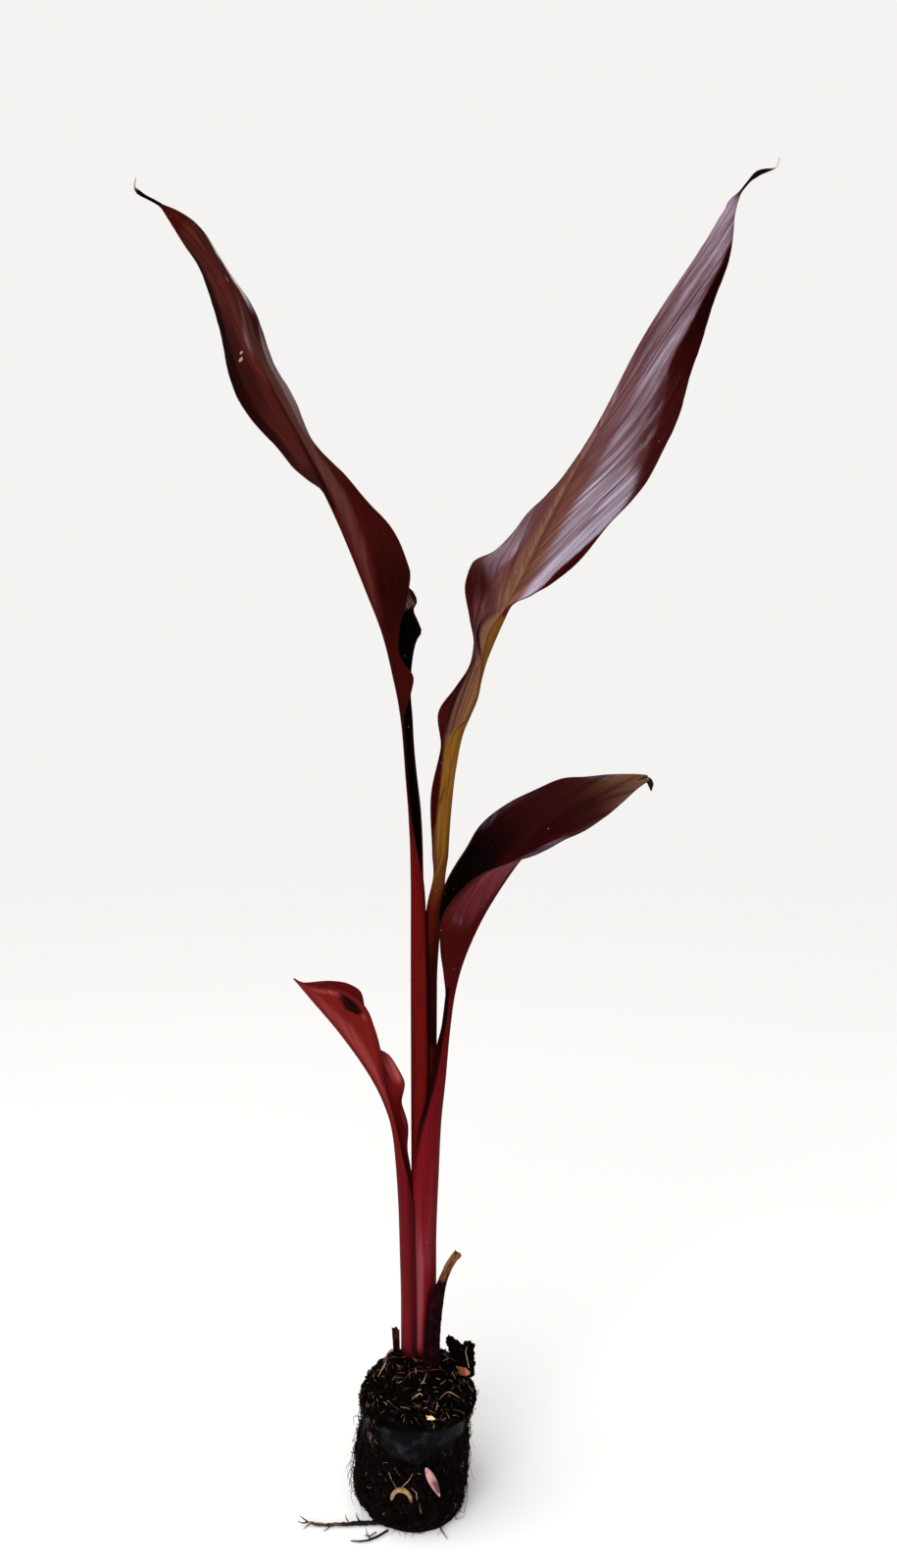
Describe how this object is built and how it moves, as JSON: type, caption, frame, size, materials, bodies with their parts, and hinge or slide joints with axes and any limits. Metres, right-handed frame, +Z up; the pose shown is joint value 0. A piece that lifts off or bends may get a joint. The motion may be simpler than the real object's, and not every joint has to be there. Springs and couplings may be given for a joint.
{
  "type": "canna lily plug plant",
  "caption": "Young canna lily: an upright shoot of nested crimson sheaths with long dark burgundy leaves, beside a dried stalk, standing on its bare peat root ball.",
  "frame": {"origin": "middle of the root ball's flat underside, on the ground", "axes": "+Z up along the shoot, +X to the right as seen from the front, +Y away from the front"},
  "size_m": [0.2822, 0.0726, 0.6185],
  "materials": {
    "peat": "moist dark peat bound with fine roots",
    "sheath": "smooth crimson skin with a soft gloss",
    "crimson_leaf": "thin crimson leaf, satin",
    "dark_leaf": "thin burgundy leaf, satin, with fine veins",
    "dry_skin": "dry papery brown skin",
    "root": "dull tan root skin",
    "pink_shoot": "smooth pink bud skin"
  },
  "bodies": {
    "root": {"root_ball": "peat", "peat_lump": "peat", "outer_sheath": "sheath", "middle_sheath": "sheath", "tall_sheath": "sheath", "inner_stalk": "sheath", "lowest_leaf": "crimson_leaf", "right_leaf": "dark_leaf", "left_top_leaf": "dark_leaf", "right_top_leaf": "dark_leaf", "dead_stalk": "dry_skin", "bud_scale": "dry_skin", "stray_root": "root", "arched_root": "root", "side_shoot": "pink_shoot"}
  },
  "joints": []
}
